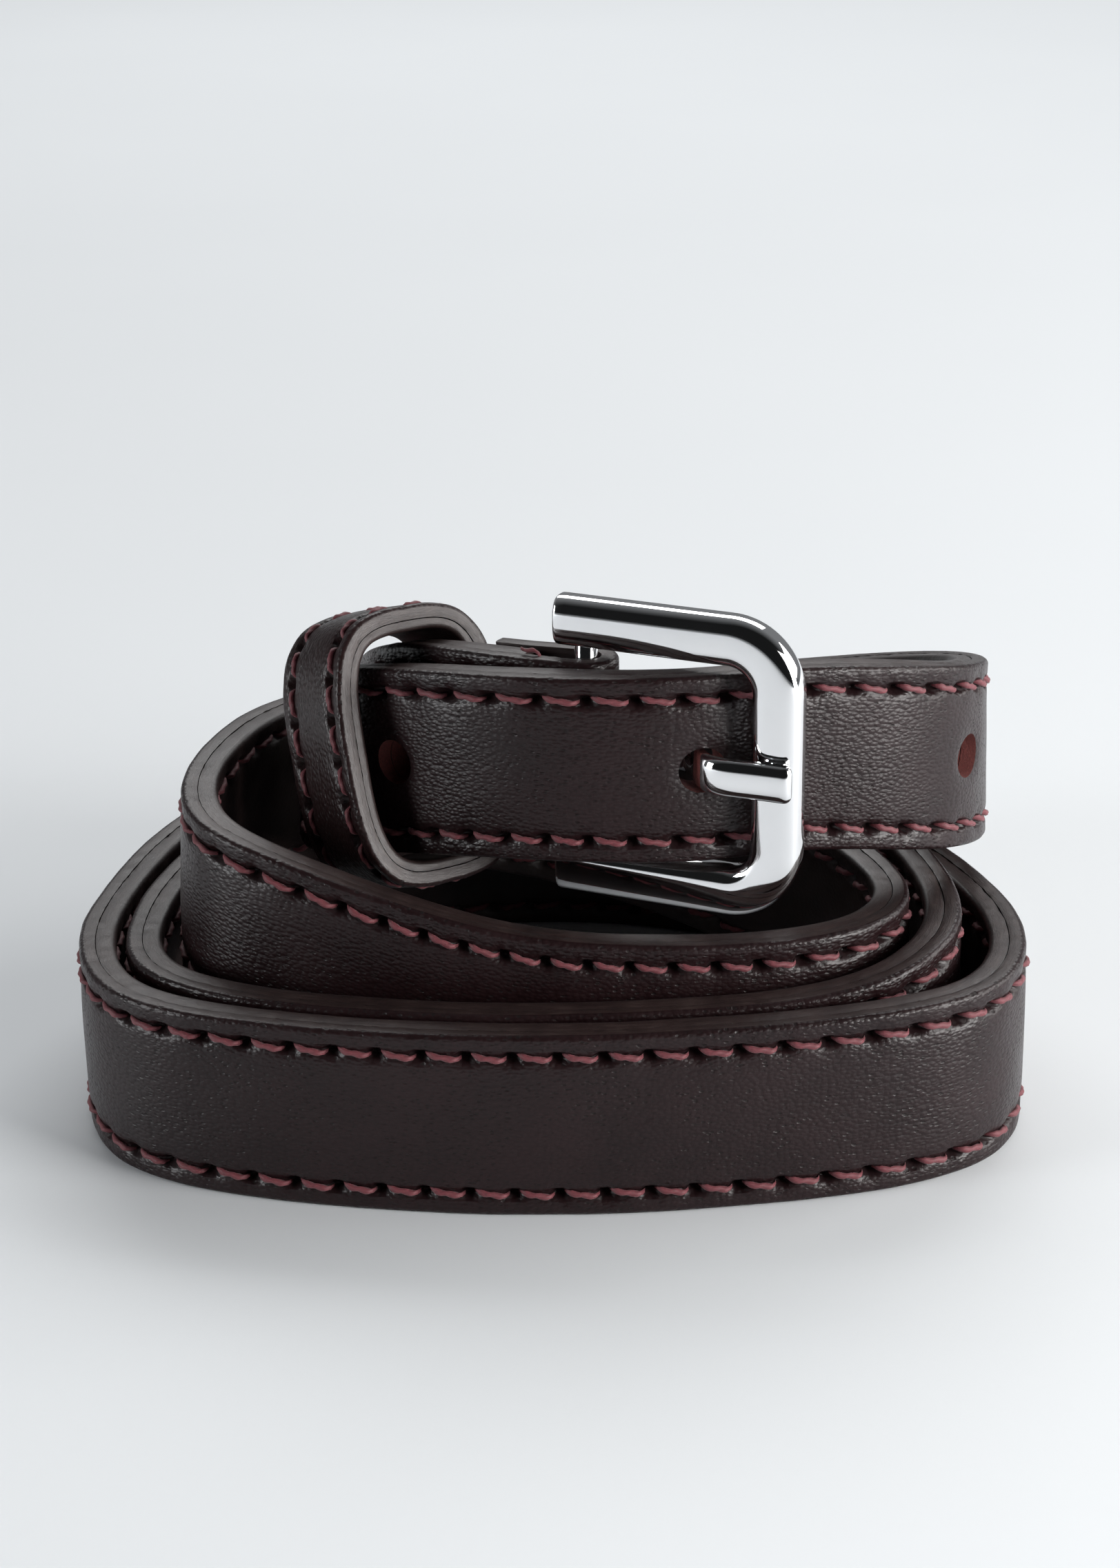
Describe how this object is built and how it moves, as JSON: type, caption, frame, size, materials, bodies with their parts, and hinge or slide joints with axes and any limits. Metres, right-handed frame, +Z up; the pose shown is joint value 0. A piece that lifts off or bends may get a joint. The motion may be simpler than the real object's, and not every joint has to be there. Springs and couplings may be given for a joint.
{
  "type": "leather belt",
  "caption": "Slim stitched dark brown leather belt with polished frame buckle and keeper loop, buckled and coiled into stacked turns standing on its edge.",
  "frame": {"origin": "middle of the coil's footprint, on the surface that the strap's lower edge stands on", "axes": "+X to the right across the front of the coil, +Y from the buckle side to the back, +Z up"},
  "size_m": [0.0759, 0.0641, 0.0431],
  "materials": {
    "strap_leather": "semi-gloss grained dark brown",
    "lining_leather": "matt smooth brown",
    "keeper_leather": "semi-gloss grained dark brown",
    "thread": "twisted burgundy thread",
    "buckle_chrome": "polished",
    "staple_steel": "bright wire"
  },
  "bodies": {
    "strap": {"strap_face": "strap_leather", "strap_lining": "lining_leather", "needle_thread_upper": "thread", "needle_thread_lower": "thread"},
    "buckle": {"buckle_frame": "buckle_chrome", "hinge_pin": "buckle_chrome"},
    "prong": {"prong": "buckle_chrome"},
    "keeper": {"keeper_face": "keeper_leather", "keeper_lining": "lining_leather", "keeper_thread_left": "thread", "keeper_thread_right": "thread", "keeper_staple": "staple_steel"}
  },
  "joints": [
    {"name": "buckle_hinge", "type": "hinge", "parent": "strap", "child": "buckle", "pos_m": [0.00305, -0.01241, 0.0309], "axis": [-0.0054, 0.0019, -1], "range_deg": [0, 3]},
    {"name": "prong_hinge", "type": "hinge", "parent": "buckle", "child": "prong", "pos_m": [0.00305, -0.01241, 0.0309], "axis": [-0.0054, 0.0019, -1], "range_deg": [0, 3.5]},
    {"name": "keeper_slide", "type": "slide", "parent": "strap", "child": "keeper", "axis": [-0.5866, 0.7486, -0.309], "range_m": [-0.001, 0.001]}
  ]
}
